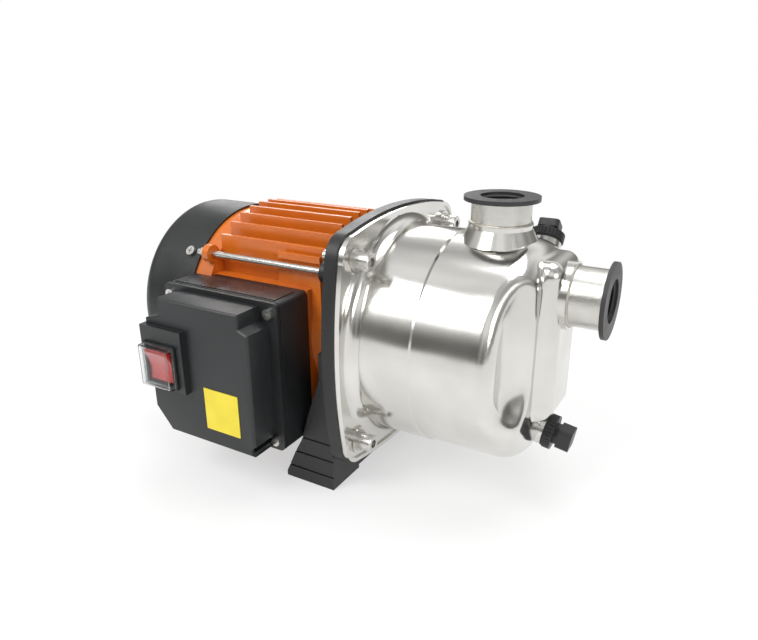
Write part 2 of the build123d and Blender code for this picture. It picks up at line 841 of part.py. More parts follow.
def ball_places(start):
    """The centres of one bearing's eight balls."""
    middle = start + bearing_width / 2
    return [(middle, y, shaft_height + z) for y, z in polar(ball_circle, 0, 8)]


with BuildPart() as bearing_balls:
    for start in bearing_starts:
        with Locations(*ball_places(start)):
            Sphere(ball_radius)
write(bearing_balls.part, "bearing_balls")
with BuildPart() as bearing_cages:
    for start in bearing_starts:
        middle = start + bearing_width / 2
        ring(middle - 4, middle + 4, ball_circle + 0.8, ball_circle - 0.8)
        with Locations(*ball_places(start)):
            Sphere(ball_radius + fit, mode=Mode.SUBTRACT)
write(bearing_cages.part, "bearing_cages")

with BuildPart() as wave_washer:
    ring(hub_wall, rear_bearing_x, bearing_outer - 0.3, 12.5)
write(wave_washer.part, "wave_washer")

# ---- stator ----------------------------------------------------------------
with BuildPart() as stator_core:
    ring(core_back, core_front, frame_bore, rotor_radius + air_gap)
    with BuildSketch(across(core_back)) as slots:
        with Locations(*polar(slot_circle, 0, slot_count)):
            Circle(slot_radius)
    extrude(slots.sketch, amount=core_length, mode=Mode.SUBTRACT)
write(stator_core.part, "stator_core")
with BuildPart() as windings:
    for start, end in ((core_back - 12, core_back - 0.3), (core_front + 0.3, core_front + 11)):
        ring(start, end, slot_circle + 11, slot_circle - 7)
    with BuildSketch(across(core_back - 1)) as strands:
        with Locations(*polar(slot_circle, 0, slot_count)):
            Circle(slot_radius - 0.1)
    extrude(strands.sketch, amount=core_length + 2)
write(windings.part, "windings")

# ---- switch box ------------------------------------------------------------
screw_places = [
    (x, z) for x in (box_left + 7, box_right - 7) for z in (box_bottom + 8, box_top - 8)
]
gland_radius = 10.0
gland_x = -70.0
lid_back = box_split - 1.0
cover_clear = cover_radius + 1.1
with BuildPart() as terminal_box_base:
    block((box_left, box_right), (box_split, box_back), (box_bottom, box_top))
    fillet(terminal_box_base.edges().filter_by(Axis.Y), radius=4)
    ring(box_left - 1, frame_back + 3, cover_clear, mode=Mode.SUBTRACT)
    for inner_left, inner_back in (
        (frame_back + 3 + box_wall, box_back - box_wall),
        (box_left + box_wall, -cover_clear - box_wall),
    ):
        block(
            (inner_left, box_right - box_wall),
            (box_split - 1, inner_back),
            (box_bottom + box_wall, box_top - box_wall),
            Mode.SUBTRACT,
        )
    for x, z in screw_places:
        post = Plane(origin=(x, box_split, z), x_dir=(1, 0, 0), z_dir=(0, 1, 0))
        ring(0, -cover_clear - box_split + 1, 5.4, plane=post)
    for x, z in screw_places:
        post = Plane(origin=(x, box_split, z), x_dir=(1, 0, 0), z_dir=(0, 1, 0))
        ring(0, 14, 1.9, mode=Mode.SUBTRACT, plane=post)
    under = Plane(
        origin=(gland_x, (box_back + box_split) / 2, box_bottom), x_dir=(1, 0, 0), z_dir=(0, 0, 1)
    )
    ring(-1, box_wall + 1, gland_radius - 2, mode=Mode.SUBTRACT, plane=under)
write(terminal_box_base.part, "terminal_box_base")

with BuildPart() as cable_gland:
    ring(-12, 0, gland_radius, 4.0, plane=under)
    ring(0, box_wall + 4, gland_radius - 2 - fit, 4.0, plane=under)
write(cable_gland.part, "cable_gland")

with BuildPart() as box_gasket:
    block((box_left + 1, box_right - 1), (lid_back, box_split), (box_bottom + 1, box_top - 1))
    block(
        (box_left + 14, box_right - 14),
        (lid_back - 1, box_split + 1),
        (box_bottom + 14, box_top - 14),
        Mode.SUBTRACT,
    )
    for x, z in screw_places:
        post = Plane(origin=(x, lid_back - 1, z), x_dir=(1, 0, 0), z_dir=(0, 1, 0))
        ring(0, 3, 2.2, mode=Mode.SUBTRACT, plane=post)
write(box_gasket.part, "box_gasket")

lid_plate = 3.0
lid_front = lid_back - lid_plate
boss_front = box_front - 5
boss_x = (box_left, -74.0)
boss_z = (78.0, 127.0)
front_side = Plane(origin=(0, lid_front, 0), x_dir=(1, 0, 0), z_dir=(0, -1, 0))
inset_x, inset_z = 15.0, 14.0
with BuildPart() as terminal_box_cover:
    block((box_left, box_right), (lid_front, lid_back), (box_bottom, box_top))
    fillet(terminal_box_cover.edges().filter_by(Axis.Y), radius=4)

    def lid_outline(grow):
        """The raised part of the cover, stepped in at three corners to clear the screws."""
        left, right = box_left + 1 + grow, block_right - grow
        low, high = block_bottom + grow, block_top - grow
        Polyline(
            (left + inset_x, low),
            (right, low),
            (right, high - inset_z),
            (right - 8, high - inset_z + 3),
            (right - 8, high),
            (left + inset_x, high),
            (left + inset_x, high - inset_z),
            (left, high - inset_z - 4),
            (left, low + inset_z + 4),
            (left + inset_x, low),
            close=True,
        )

    with BuildSketch(front_side) as raised:
        with BuildLine():
            lid_outline(0)
        make_face()
    extrude(raised.sketch, amount=lid_front - box_front)
    chamfer(terminal_box_cover.faces().sort_by(Axis.Y)[0].edges(), length=1.2)
    block(boss_x, (boss_front, lid_front), boss_z)
    with BuildSketch(front_side.offset(-lid_plate)) as hollow:
        with BuildLine():
            lid_outline(2.5)
        make_face()
    extrude(
        hollow.sketch, amount=lid_plate + lid_front - box_front - 2.5, mode=Mode.SUBTRACT
    )
    block(
        (switch_x - 14, switch_x + 14),
        (boss_front - 1, lid_back + 1),
        (switch_z - 15, switch_z + 15),
        Mode.SUBTRACT,
    )
    for x, z in screw_places:
        post = Plane(origin=(x, boss_front, z), x_dir=(1, 0, 0), z_dir=(0, 1, 0))
        ring(0, lid_back - boss_front, 2.2, mode=Mode.SUBTRACT, plane=post)
        ring(0, lid_front - boss_front, 4.6, mode=Mode.SUBTRACT, plane=post)
write(terminal_box_cover.part, "terminal_box_cover")

with BuildPart() as box_cover_screws:
    for x, z in screw_places:
        post = Plane(origin=(x, lid_front, z), x_dir=(1, 0, 0), z_dir=(0, 1, 0))
        ring(-2.6, 0, 3.9, plane=post)
        ring(0, 12, 1.9 - fit, plane=post)
        with BuildSketch(post.offset(-2.6)) as cross:
            Rectangle(4.2, 1.0)
            Rectangle(1.0, 4.2)
        extrude(cross.sketch, amount=1.4, mode=Mode.SUBTRACT)
write(box_cover_screws.part, "box_cover_screws")

bezel_front = boss_front - 2
pivot_y = boss_front + 2
with BuildPart() as switch_frame:
    block(
        (switch_x - 16, switch_x + 16),
        (bezel_front, boss_front),
        (switch_z - 17, switch_z + 17),
    )
    block(
        (switch_x - 13.8, switch_x + 13.8),
        (boss_front, boss_front + 26),
        (switch_z - 14.8, switch_z + 14.8),
    )
    block(
        (switch_x - 12, switch_x + 12),
        (bezel_front - 1, boss_front + 14),
        (switch_z - 13.6, switch_z + 13.6),
        Mode.SUBTRACT,
    )
write(switch_frame.part, "switch_frame")

rocker_lean = math.radians(rocker_tilt)
rocker_plane = Plane(
    origin=(switch_x - 11.7, pivot_y, switch_z),
    x_dir=(0, math.cos(rocker_lean), math.sin(rocker_lean)),
    z_dir=(1, 0, 0),
)
with BuildPart() as switch_rocker:
    with BuildSketch(rocker_plane) as wedge:
        with BuildLine():
            ThreePointArc((-5, -12), (-2.6, 0), (-5, 12))
            Polyline((-5, 12), (4, 10), (9.5, 2), (9.5, -2), (4, -10), (-5, -12))
        make_face()
    extrude(wedge.sketch, amount=23.4)
write(switch_rocker.part, "switch_rocker")

hood_front = bezel_front - 6
with BuildPart() as switch_hood:
    block(
        (switch_x - 15, switch_x + 15), (hood_front, bezel_front), (switch_z - 16, switch_z + 16)
    )
    fillet(switch_hood.faces().sort_by(Axis.Y)[0].edges(), radius=2)
    block(
        (switch_x - 14, switch_x + 14),
        (hood_front + 1, bezel_front),
        (switch_z - 15, switch_z + 15),
        Mode.SUBTRACT,
    )
write(switch_hood.part, "switch_hood")

inner_back = box_back - box_wall
can_radius = 16.0
can_length = 64.0
can_back = frame_back + 3 + box_wall + 2
can_z = 64.0
can_plane = Plane(
    origin=(0, inner_back - can_radius - 2.5, can_z), x_dir=(0, 1, 0), z_dir=(1, 0, 0)
)
with BuildPart() as capacitor:
    ring(can_back, can_back + can_length, can_radius, plane=can_plane)
    ring(can_back + can_length, can_back + can_length + 4, can_radius - 3, plane=can_plane)
write(capacitor.part, "capacitor")
with BuildPart() as capacitor_clip:
    clip = (can_back + can_length / 2 - 6, can_back + can_length / 2 + 6)
    ring(*clip, can_radius + 1.5, can_radius, plane=can_plane)
    block(clip, (inner_back - 3, inner_back), (can_z - 12, can_z + 12))
    ring(clip[0] - 1, clip[1] + 1, can_radius, mode=Mode.SUBTRACT, plane=can_plane)
write(capacitor_clip.part, "capacitor_clip")
with BuildPart() as terminal_block:
    block((-62, -24), (inner_back - 14, inner_back), (110, 128))
    for i in range(4):
        block(
            (-60 + 9 * i, -54 + 9 * i), (inner_back - 15, inner_back - 8), (114, 124), Mode.SUBTRACT
        )
write(terminal_block.part, "terminal_block")

with BuildPart() as rating_plate:
    block((box_left + 6, box_right - 6), (box_split + 2, box_back - 8), (box_top, box_top + 0.6))
write(rating_plate.part, "rating_plate")
with BuildPart() as noise_label:
    block((-60, -28), (box_front - 0.5, box_front), (53, 86))
write(noise_label.part, "noise_label")
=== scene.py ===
"""Shallow well jet pump: polished steel pump end, lantern bracket, finned motor and switch box."""

import math

import bmesh
import bpy
from mathutils import Matrix, Vector


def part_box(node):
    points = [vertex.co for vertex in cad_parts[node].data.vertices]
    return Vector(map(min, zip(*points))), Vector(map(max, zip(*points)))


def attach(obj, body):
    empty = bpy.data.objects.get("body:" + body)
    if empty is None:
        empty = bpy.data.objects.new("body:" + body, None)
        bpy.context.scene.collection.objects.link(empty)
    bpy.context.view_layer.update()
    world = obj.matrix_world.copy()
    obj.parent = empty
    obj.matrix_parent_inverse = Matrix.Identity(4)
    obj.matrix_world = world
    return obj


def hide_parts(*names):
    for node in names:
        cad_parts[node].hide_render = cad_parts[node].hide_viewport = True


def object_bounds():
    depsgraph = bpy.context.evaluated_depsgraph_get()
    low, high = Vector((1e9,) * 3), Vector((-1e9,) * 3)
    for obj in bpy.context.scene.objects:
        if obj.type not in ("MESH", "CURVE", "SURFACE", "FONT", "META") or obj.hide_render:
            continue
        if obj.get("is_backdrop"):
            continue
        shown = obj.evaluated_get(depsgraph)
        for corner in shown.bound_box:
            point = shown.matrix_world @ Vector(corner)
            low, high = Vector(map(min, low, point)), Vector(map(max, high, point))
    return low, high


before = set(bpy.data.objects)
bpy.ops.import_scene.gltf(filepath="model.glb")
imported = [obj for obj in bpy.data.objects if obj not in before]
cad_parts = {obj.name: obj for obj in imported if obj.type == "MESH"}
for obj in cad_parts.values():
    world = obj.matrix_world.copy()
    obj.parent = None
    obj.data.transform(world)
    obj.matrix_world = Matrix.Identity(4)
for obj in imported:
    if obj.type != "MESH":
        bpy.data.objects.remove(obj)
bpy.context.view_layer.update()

# ---- camera ----------------------------------------------------------------
# The camera stands low in front of the suction port, close to the pump, so the
# near end looks large. Its lens is set for a frame 758 wide and 640 high.
camera_turn, camera_rise, camera_roll = math.radians(30.29), math.radians(20.33), math.radians(-0.22)
camera_place = Vector((0.2693, -0.4364, 0.2988))
sensor_width = 36.0
focal_share = 0.8706

level = Vector((math.cos(camera_turn), math.sin(camera_turn), 0))
back = Vector(
    (
        math.sin(camera_turn) * math.cos(camera_rise),
        -math.cos(camera_turn) * math.cos(camera_rise),
        math.sin(camera_rise),
    )
)
upright = back.cross(level)
across = math.cos(camera_roll) * level + math.sin(camera_roll) * upright
above = math.cos(camera_roll) * upright - math.sin(camera_roll) * level
camera_data = bpy.data.cameras.new("camera")
camera_data.sensor_width = sensor_width
camera_data.lens = sensor_width * focal_share
camera_data.clip_start = 0.01
camera = bpy.data.objects.new("camera", camera_data)
camera_turned = Matrix((across, above, back)).transposed().to_4x4()
camera.matrix_world = Matrix.Translation(camera_place) @ camera_turned
bpy.context.scene.collection.objects.link(camera)
bpy.context.scene.camera = camera
bpy.context.scene.view_settings.view_transform = "Standard"


# ---- pump shell ------------------------------------------------------------
# The drum, its nose and the flange are one pressed sheet of stainless steel,
# polished after welding. Fine polishing lines and soft dents break its shine.
line_share = 0.03
wave_share = 1.6
grain_share = 0.02


def node_group(name, inputs, outputs):
    """A shader node group with named sockets, and its two end nodes."""
    group = bpy.data.node_groups.new(name, "ShaderNodeTree")
    for label, kind, value in inputs:
        socket = group.interface.new_socket(label, in_out="INPUT", socket_type=kind)
        socket.default_value = value
    for label, kind in outputs:
        group.interface.new_socket(label, in_out="OUTPUT", socket_type=kind)
    return group, group.nodes.new("NodeGroupInput"), group.nodes.new("NodeGroupOutput")


def scaled_noise(group, start, scale_socket, detail):
    """Noise on object coordinates, at the scale that a group input gives."""
    coordinates = group.nodes.new("ShaderNodeTexCoord")
    noise = group.nodes.new("ShaderNodeTexNoise")
    noise.inputs["Detail"].default_value = detail
    group.links.new(coordinates.outputs["Object"], noise.inputs["Vector"])
    group.links.new(start.outputs[scale_socket], noise.inputs["Scale"])
    return noise


def build_surface_group():
    """Patchy colour and roughness with a fine grain, for every moulded, cast and plated finish."""
    group, start, end = node_group(
        "patchy surface",
        [
            ("Colour", "NodeSocketColor", (0.5, 0.5, 0.5, 1)),
            ("Patch colour", "NodeSocketColor", (0.4, 0.4, 0.4, 1)),
            ("Patch scale", "NodeSocketFloat", 30.0),
            ("Grain scale", "NodeSocketFloat", 1500.0),
            ("Smoothest", "NodeSocketFloat", 0.3),
            ("Roughest", "NodeSocketFloat", 0.5),
        ],
        [
            ("Colour", "NodeSocketColor"),
            ("Roughness", "NodeSocketFloat"),
            ("Height", "NodeSocketFloat"),
        ],
    )
    patches = scaled_noise(group, start, "Patch scale", 4.0)
    grain = scaled_noise(group, start, "Grain scale", 2.0)
    contrast = group.nodes.new("ShaderNodeMapRange")
    contrast.interpolation_type = "SMOOTHSTEP"
    contrast.inputs["From Min"].default_value = 0.28
    contrast.inputs["From Max"].default_value = 0.74
    group.links.new(patches.outputs["Fac"], contrast.inputs["Value"])
    colour = group.nodes.new("ShaderNodeMix")
    colour.data_type = "RGBA"
    group.links.new(contrast.outputs["Result"], colour.inputs["Factor"])
    group.links.new(start.outputs["Colour"], colour.inputs[6])
    group.links.new(start.outputs["Patch colour"], colour.inputs[7])
    rough = group.nodes.new("ShaderNodeMapRange")
    group.links.new(contrast.outputs["Result"], rough.inputs["Value"])
    group.links.new(start.outputs["Smoothest"], rough.inputs["To Min"])
    group.links.new(start.outputs["Roughest"], rough.inputs["To Max"])
    group.links.new(colour.outputs[2], end.inputs["Colour"])
    group.links.new(rough.outputs["Result"], end.inputs["Roughness"])
    group.links.new(grain.outputs["Fac"], end.inputs["Height"])
    return group


def build_polish_group():
    """Polishing lines that run round the shaft axis, and slow waves in the sheet under them."""
    group, start, end = node_group(
        "polishing lines",
        [
            ("Line scale", "NodeSocketFloat", 900.0),
            ("Wave scale", "NodeSocketFloat", 18.0),
            ("Height in", "NodeSocketFloat", 0.0),
        ],
        [("Height", "NodeSocketFloat")],
    )
    coordinates = group.nodes.new("ShaderNodeTexCoord")
    stretch = group.nodes.new("ShaderNodeMapping")
    stretch.inputs["Scale"].default_value = (1.0, 0.02, 0.02)
    lines = group.nodes.new("ShaderNodeTexNoise")
    lines.inputs["Detail"].default_value = 3.0
    waves = scaled_noise(group, start, "Wave scale", 1.0)
    group.links.new(coordinates.outputs["Object"], stretch.inputs["Vector"])
    group.links.new(stretch.outputs["Vector"], lines.inputs["Vector"])
    group.links.new(start.outputs["Line scale"], lines.inputs["Scale"])
    faint = group.nodes.new("ShaderNodeMath")
    faint.operation = "MULTIPLY"
    faint.inputs[1].default_value = line_share
    group.links.new(lines.outputs["Fac"], faint.inputs[0])
    swell = group.nodes.new("ShaderNodeMath")
    swell.operation = "MULTIPLY_ADD"
    swell.inputs[1].default_value = wave_share
    group.links.new(waves.outputs["Fac"], swell.inputs[0])
    group.links.new(faint.outputs["Value"], swell.inputs[2])
    total = group.nodes.new("ShaderNodeMath")
    group.links.new(swell.outputs["Value"], total.inputs[0])
    group.links.new(start.outputs["Height in"], total.inputs[1])
    group.links.new(total.outputs["Value"], end.inputs["Height"])
    return group


patchy_surface = build_surface_group()
polishing_lines = build_polish_group()


def finish_material(
    name, colour, patch, smooth, rough, bump,
    metallic=0.0, coat=0.0, patch_scale=30.0, grain=1500.0,
):
    """A material from the patchy surface group, with its own colours, gloss and grain."""
    material = bpy.data.materials.new(name)
    material.use_nodes = True
    nodes, links = material.node_tree.nodes, material.node_tree.links
    shader = nodes["Principled BSDF"]
    surface = nodes.new("ShaderNodeGroup")
    surface.node_tree = patchy_surface
    surface.inputs["Colour"].default_value = (*colour, 1)
    surface.inputs["Patch colour"].default_value = (*patch, 1)
    surface.inputs["Patch scale"].default_value = patch_scale
    surface.inputs["Grain scale"].default_value = grain
    surface.inputs["Smoothest"].default_value = smooth
    surface.inputs["Roughest"].default_value = rough
    relief = nodes.new("ShaderNodeBump")
    relief.inputs["Strength"].default_value = 0.6
    relief.inputs["Distance"].default_value = bump
    links.new(surface.outputs["Colour"], shader.inputs["Base Color"])
    links.new(surface.outputs["Roughness"], shader.inputs["Roughness"])
    links.new(surface.outputs["Height"], relief.inputs["Height"])
    links.new(relief.outputs["Normal"], shader.inputs["Normal"])
    shader.inputs["Metallic"].default_value = metallic
    shader.inputs["Coat Weight"].default_value = coat
    shader.inputs["Coat Roughness"].default_value = 0.12
    return material


def add_polish(material):
    """Puts the polishing lines over a metal finish."""
    nodes, links = material.node_tree.nodes, material.node_tree.links
    relief = nodes["Bump"]
    height = relief.inputs["Height"].links[0].from_socket
    polish = nodes.new("ShaderNodeGroup")
    polish.node_tree = polishing_lines
    faint = nodes.new("ShaderNodeMath")
    faint.operation = "MULTIPLY"
    faint.inputs[1].default_value = grain_share
    links.new(height, faint.inputs[0])
    links.new(faint.outputs["Value"], polish.inputs["Height in"])
    links.new(polish.outputs["Height"], relief.inputs["Height"])


def dress(material, *names):
    """Gives a finish to nodes that keep their own shape."""
    for name in names:
        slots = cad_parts[name].data.materials
        slots.clear()
        slots.append(material)


steel = finish_material(
    "polished stainless", (0.74, 0.73, 0.70), (0.66, 0.65, 0.62),
    smooth=0.13, rough=0.22, bump=0.0009, metallic=1.0, patch_scale=22.0,
)
add_polish(steel)
dress(steel, "pump_body", "seal_plate", "plug_bushes")

# ---- port tubes and their welds --------------------------------------------
# A short steel tube is welded into the pulled collar on top of the drum, and
# another into the nose. Each weld leaves a rippled bead with a straw tint.
tube_steel = finish_material(
    "tube stainless", (0.68, 0.67, 0.63), (0.58, 0.57, 0.53),
    smooth=0.16, rough=0.26, bump=0.0003, metallic=1.0, patch_scale=40.0,
)
dress(tube_steel, "discharge_tube", "suction_tube")
weld_steel = finish_material(
    "weld bead", (0.60, 0.57, 0.52), (0.46, 0.43, 0.39),
    smooth=0.28, rough=0.45, bump=0.0006, metallic=1.0, patch_scale=160.0,
)


def mesh_piece(name, shape, material, body, smooth=True):
    """Turns a finished bmesh into a piece that rides on a body."""
    bmesh.ops.recalc_face_normals(shape, faces=shape.faces)
    mesh = bpy.data.meshes.new(name)
    shape.to_mesh(mesh)
    shape.free()
    for polygon in mesh.polygons:
        polygon.use_smooth = smooth
    mesh.materials.append(material)
    piece = bpy.data.objects.new(name, mesh)
    bpy.context.scene.collection.objects.link(piece)
    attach(piece, body)
    return piece


def spun(profile, axis, centre, steps, closed):
    """Spins an outline of (distance along, radius) points about an axis through centre."""
    shape = bmesh.new()
    side = Vector((0, 0, 1)) if abs(axis.z) < 0.9 else Vector((1, 0, 0))
    corners = [shape.verts.new(centre + axis * along + side * radius) for along, radius in profile]
    edges = [shape.edges.new(pair) for pair in zip(corners, corners[1:])]
    if closed:
        edges.append(shape.edges.new((corners[-1], corners[0])))
    bmesh.ops.spin(
        shape,
        geom=corners + edges,
        cent=centre,
        axis=axis,
        angle=2 * math.pi,
        steps=steps,
        use_merge=True,
    )
    bmesh.ops.remove_doubles(shape, verts=shape.verts, dist=1e-6)
    return shape


low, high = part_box("discharge_tube")
discharge_foot = Vector(((low.x + high.x) / 2, 0, 0))
tube_radius = (high.x - low.x) / 2
bead_radius = 0.0011
bead_sides = 10
bead_steps = 180
ripple = 0.00018
ripple_count = 60
collar_rise = 0.0123
nose_reach = 0.006
suction_low, suction_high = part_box("suction_tube")
suction_line = Vector((0, 0, (suction_low.z + suction_high.z) / 2))
nose_face = suction_low.x + nose_reach
collar_weld = discharge_foot + Vector((0, 0, low.z + collar_rise))
for name, centre, axis in (
    ("discharge_weld", collar_weld, Vector((0, 0, 1))),
    ("suction_weld", suction_line + Vector((nose_face, 0, 0)), Vector((1, 0, 0))),
):
    outline = [
        (bead_radius * math.sin(turn), tube_radius + bead_radius * math.cos(turn))
        for turn in [2 * math.pi * i / bead_sides for i in range(bead_sides)]
    ]
    bead = spun(outline, axis, centre, bead_steps, closed=True)
    for vertex in bead.verts:
        offset = vertex.co - centre
        radial = (offset - axis * offset.dot(axis)).normalized()
        other = axis.cross(Vector((0, 1, 0)))
        angle = math.atan2(radial.y, radial.dot(other))
        vertex.co += radial * ripple * math.sin(ripple_count * angle)
    mesh_piece(name, bead, weld_steel, "housing")

# ---- port inserts ----------------------------------------------------------
# Each port has a dark moulded insert: a flat sealing ring in front, and a pipe
# thread inside its sleeve. The thread's crests are turned rings at its pitch.
insert_plastic = finish_material(
    "port insert plastic", (0.032, 0.031, 0.032), (0.024, 0.023, 0.024),
    smooth=0.38, rough=0.52, bump=0.0002, grain=2600.0,
)
dress(insert_plastic, "discharge_insert", "suction_insert")
thread_pitch = 0.00231
thread_depth = 0.0009
thread_root = 0.01514
thread_start = 0.002
thread_steps = 72
for name, node, axis in (
    ("discharge_thread", "discharge_insert", Vector((0, 0, 1))),
    ("suction_thread", "suction_insert", Vector((1, 0, 0))),
):
    low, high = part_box(node)
    middle = (low + high) / 2
    depth = (high - low).dot(axis)
    centre = middle + axis * (depth / 2)
    turns = int((depth - 2 * thread_start) / thread_pitch)
    outline = []
    for i in range(turns):
        start = -thread_start - i * thread_pitch
        outline += [
            (start, thread_root),
            (start - 0.4 * thread_pitch, thread_root - thread_depth),
            (start - 0.6 * thread_pitch, thread_root - thread_depth),
        ]
    outline.append((-thread_start - turns * thread_pitch, thread_root))
    thread = spun(outline, axis, centre, thread_steps, closed=True)
    mesh_piece(name, thread, insert_plastic, "housing", smooth=False)


# ---- cast bracket ----------------------------------------------------------
# The lantern bracket is a die casting in satin black paint, with rounded edges
# from the mould. It joins pump and motor and stands on two grooved legs.
merge_distance = 2e-6
flat_within = math.radians(0.6)
sharp_over = math.radians(32.0)


def soften(name, body, material, width, segments=2):
    """A merged copy of a node with its sharp edges rounded, which stands for the node."""
    shape = bmesh.new()
    shape.from_mesh(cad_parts[name].data)
    bmesh.ops.remove_doubles(shape, verts=shape.verts, dist=merge_distance)
    bmesh.ops.dissolve_limit(
        shape,
        angle_limit=flat_within,
        verts=shape.verts,
        edges=shape.edges,
        use_dissolve_boundaries=False,
    )
    mesh = bpy.data.meshes.new(name + "_rounded")
    shape.to_mesh(mesh)
    shape.free()
    for polygon in mesh.polygons:
        polygon.use_smooth = True
    mesh.set_sharp_from_angle(angle=sharp_over)
    mesh.materials.append(material)
    piece = bpy.data.objects.new(name + "_rounded", mesh)
    bpy.context.scene.collection.objects.link(piece)
    bevel = piece.modifiers.new("rounding", "BEVEL")
    bevel.width = width
    bevel.segments = segments
    bevel.limit_method = "ANGLE"
    bevel.angle_limit = sharp_over
    bevel.harden_normals = True
    bevel.use_clamp_overlap = True
    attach(piece, body)
    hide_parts(name)
    return piece


bracket_paint = finish_material(
    "black bracket paint", (0.010, 0.010, 0.011), (0.015, 0.015, 0.016),
    smooth=0.36, rough=0.50, bump=0.00035, grain=900.0,
)
soften("bracket", "housing", bracket_paint, 0.0009)

# ---- bolts, washers, rods and screws ---------------------------------------
# All of the outside fasteners are zinc plated steel: four socket cap screws on
# the flange, four long tie rods with nuts, and cross recessed screws.
zinc = finish_material(
    "zinc plate", (0.70, 0.69, 0.66), (0.58, 0.57, 0.55),
    smooth=0.24, rough=0.36, bump=0.00003, metallic=1.0, patch_scale=220.0,
)
dress(
    zinc,
    "body_bolts",
    "body_washers",
    "tie_rods",
    "tie_rod_nuts",
    "fan_cover_screws",
    "box_cover_screws",
    "fan_clip",
    "wave_washer",
)

# ---- motor frame and end shield --------------------------------------------
# The finned frame and its rear shield are aluminium castings in glossy orange
# paint. Tall thin fins run along the motor, and vents open the rear shield.
orange_paint = finish_material(
    "orange paint", (0.62, 0.148, 0.012), (0.56, 0.128, 0.010),
    smooth=0.26, rough=0.40, bump=0.00025, coat=0.35, patch_scale=45.0, grain=700.0,
)
soften("motor_frame", "housing", orange_paint, 0.0006)
soften("rear_end_shield", "housing", orange_paint, 0.0006)

# ---- fan cover -------------------------------------------------------------
# A black moulded cup over the fan, with a rounded rear edge and air slots.
# Its edges are softened as they leave the mould.
black_moulding = finish_material(
    "black moulding", (0.010, 0.011, 0.012), (0.015, 0.016, 0.017),
    smooth=0.34, rough=0.46, bump=0.00025, grain=1800.0,
)
soften("fan_cover", "housing", black_moulding, 0.0005)

# ---- switch box ------------------------------------------------------------
# Base and lid are black mouldings with a satin face. The lid is stepped in at
# three corners for its screws and has a raised seat for the switch.
box_plastic = finish_material(
    "box moulding", (0.012, 0.0135, 0.0145), (0.017, 0.019, 0.020),
    smooth=0.32, rough=0.42, bump=0.0002, grain=2200.0,
)
soften("terminal_box_base", "housing", box_plastic, 0.0008, segments=3)
soften("terminal_box_cover", "housing", box_plastic, 0.0010, segments=3)
soften("switch_frame", "housing", box_plastic, 0.0005)
soften("cable_gland", "housing", box_plastic, 0.0008)

# ---- rocker switch ---------------------------------------------------------
# The rocker is a red translucent moulding with a glossy skin, under a clear
# soft hood that keeps splashes out of the switch.
rocker_red = finish_material(
    "red rocker", (0.80, 0.035, 0.025), (0.70, 0.02, 0.018),
    smooth=0.14, rough=0.22, bump=0.0001, coat=0.6, patch_scale=90.0,
)
rocker_shader = rocker_red.node_tree.nodes["Principled BSDF"]
rocker_shader.inputs["Subsurface Weight"].default_value = 0.25
rocker_shader.inputs["Subsurface Scale"].default_value = 0.003
soften("switch_rocker", "rocker", rocker_red, 0.0007, segments=3)
hood_clear = finish_material(
    "clear hood", (0.93, 0.95, 0.95), (0.88, 0.90, 0.90),
    smooth=0.05, rough=0.12, bump=0.0001,
)
hood_shader = hood_clear.node_tree.nodes["Principled BSDF"]
hood_shader.inputs["Transmission Weight"].default_value = 1.0
hood_shader.inputs["IOR"].default_value = 1.35
soften("switch_hood", "housing", hood_clear, 0.0006, segments=3)

# ---- plates ----------------------------------------------------------------
# A bare black foil lies on the box's top ledge, and a bare yellow vinyl square
# on the lid. Neither is printed.
label_yellow = finish_material(
    "yellow vinyl", (0.78, 0.64, 0.03), (0.72, 0.58, 0.025),
    smooth=0.30, rough=0.42, bump=0.0001, patch_scale=70.0,
)
dress(label_yellow, "noise_label")
plate_black = finish_material(
    "black foil", (0.018, 0.018, 0.019), (0.026, 0.026, 0.027),
    smooth=0.24, rough=0.34, bump=0.0001, coat=0.2, patch_scale=60.0,
)
dress(plate_black, "rating_plate")

# ---- plugs -----------------------------------------------------------------
# The filling and drain plugs are black mouldings with a gripped collar, and a
# square head to turn them by. Each sits on a rubber ring.
plug_plastic = finish_material(
    "plug moulding", (0.016, 0.016, 0.018), (0.024, 0.024, 0.026),
    smooth=0.34, rough=0.48, bump=0.0002, grain=1600.0,
)
soften("priming_plug", "priming_plug", plug_plastic, 0.0006)
soften("drain_plug", "drain_plug", plug_plastic, 0.0006)
rubber = finish_material(
    "black rubber", (0.02, 0.02, 0.02), (0.03, 0.03, 0.03),
    smooth=0.55, rough=0.75, bump=0.0002,
)
dress(
    rubber,
    "body_gasket",
    "seal_bellows",
    "slinger",
    "drain_plug_seal",
    "priming_plug_seal",
    "box_gasket",
)

# ---- turning parts ---------------------------------------------------------
# Ground steel shaft and bearings, a cast rotor cage, brass impeller and a
# moulded fan turn together inside the housing.
ground_steel = finish_material(
    "ground steel", (0.68, 0.68, 0.68), (0.58, 0.58, 0.58),
    smooth=0.18, rough=0.30, bump=0.0001, metallic=1.0, patch_scale=120.0,
)
dress(
    ground_steel,
    "shaft",
    "bearing_outer_rings",
    "bearing_inner_rings",
    "bearing_balls",
    "bearing_cages",
)
stacked_sheet = finish_material(
    "stacked sheet", (0.30, 0.29, 0.28), (0.22, 0.21, 0.20),
    smooth=0.45, rough=0.60, bump=0.0003, metallic=0.9, grain=2500.0,
)
dress(stacked_sheet, "rotor_core", "stator_core")
cast_cage = finish_material(
    "cast aluminium", (0.75, 0.75, 0.76), (0.62, 0.62, 0.63),
    smooth=0.35, rough=0.5, bump=0.0003, metallic=1.0,
)
dress(cast_cage, "rotor_end_rings")
brass = finish_material(
    "turned brass", (0.78, 0.58, 0.26), (0.66, 0.47, 0.20),
    smooth=0.22, rough=0.36, bump=0.0002, metallic=1.0, patch_scale=90.0,
)
dress(brass, "impeller", "impeller_nut")
